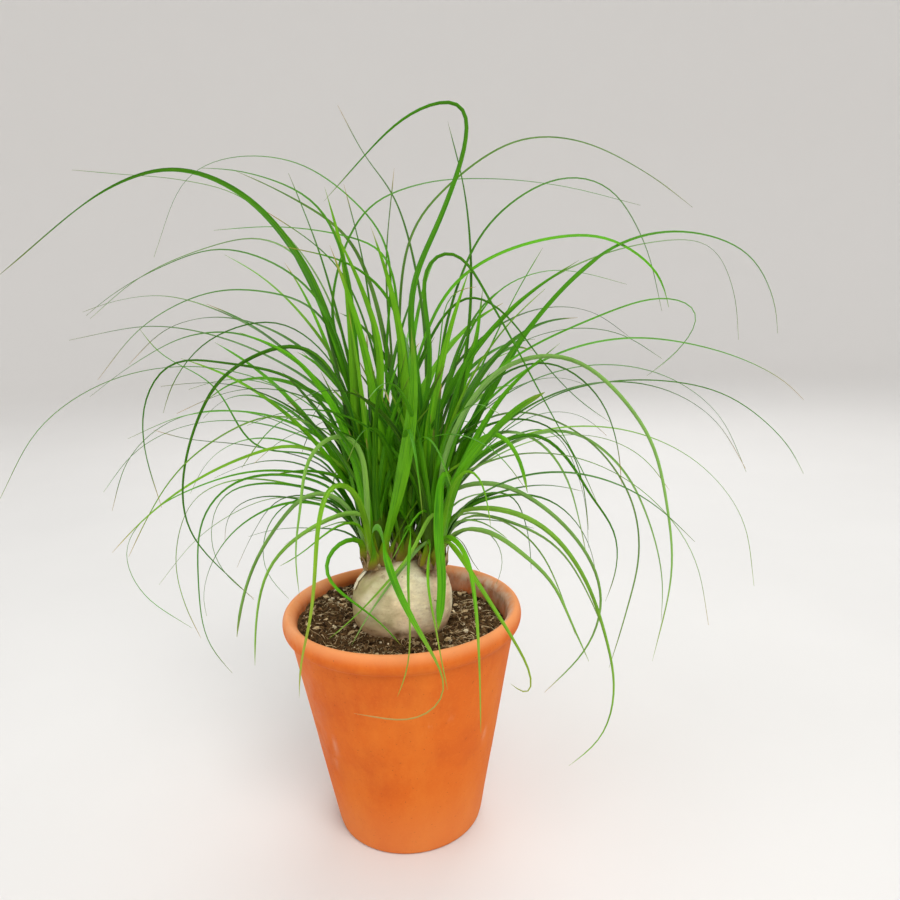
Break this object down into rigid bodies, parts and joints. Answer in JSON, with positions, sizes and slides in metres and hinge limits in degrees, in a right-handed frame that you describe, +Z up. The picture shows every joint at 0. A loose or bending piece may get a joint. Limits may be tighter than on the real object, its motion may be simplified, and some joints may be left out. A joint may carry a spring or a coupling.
{
  "type": "potted ponytail palm",
  "caption": "House plant with long arching strap leaves on a swollen pale trunk base, growing in dark soil in a round terracotta pot with a rolled rim.",
  "frame": {"origin": "centre of the pot's flat foot", "axes": "+Z up along the pot's axis, +Y to the back of the plant, X across the widest spread of the leaves"},
  "size_m": [0.5053, 0.298, 0.4649],
  "materials": {
    "terracotta": "matte fired clay, saturated orange with faint pale scuffs",
    "soil": "loose dark potting mix with white and tan bits",
    "cork": "smooth pale corky bark with brown flecks",
    "leaf": "satin green strap leaf"
  },
  "bodies": {
    "root": {"pot": "terracotta", "soil": "soil", "caudex": "cork", "leaf_crown": "leaf"}
  },
  "joints": []
}
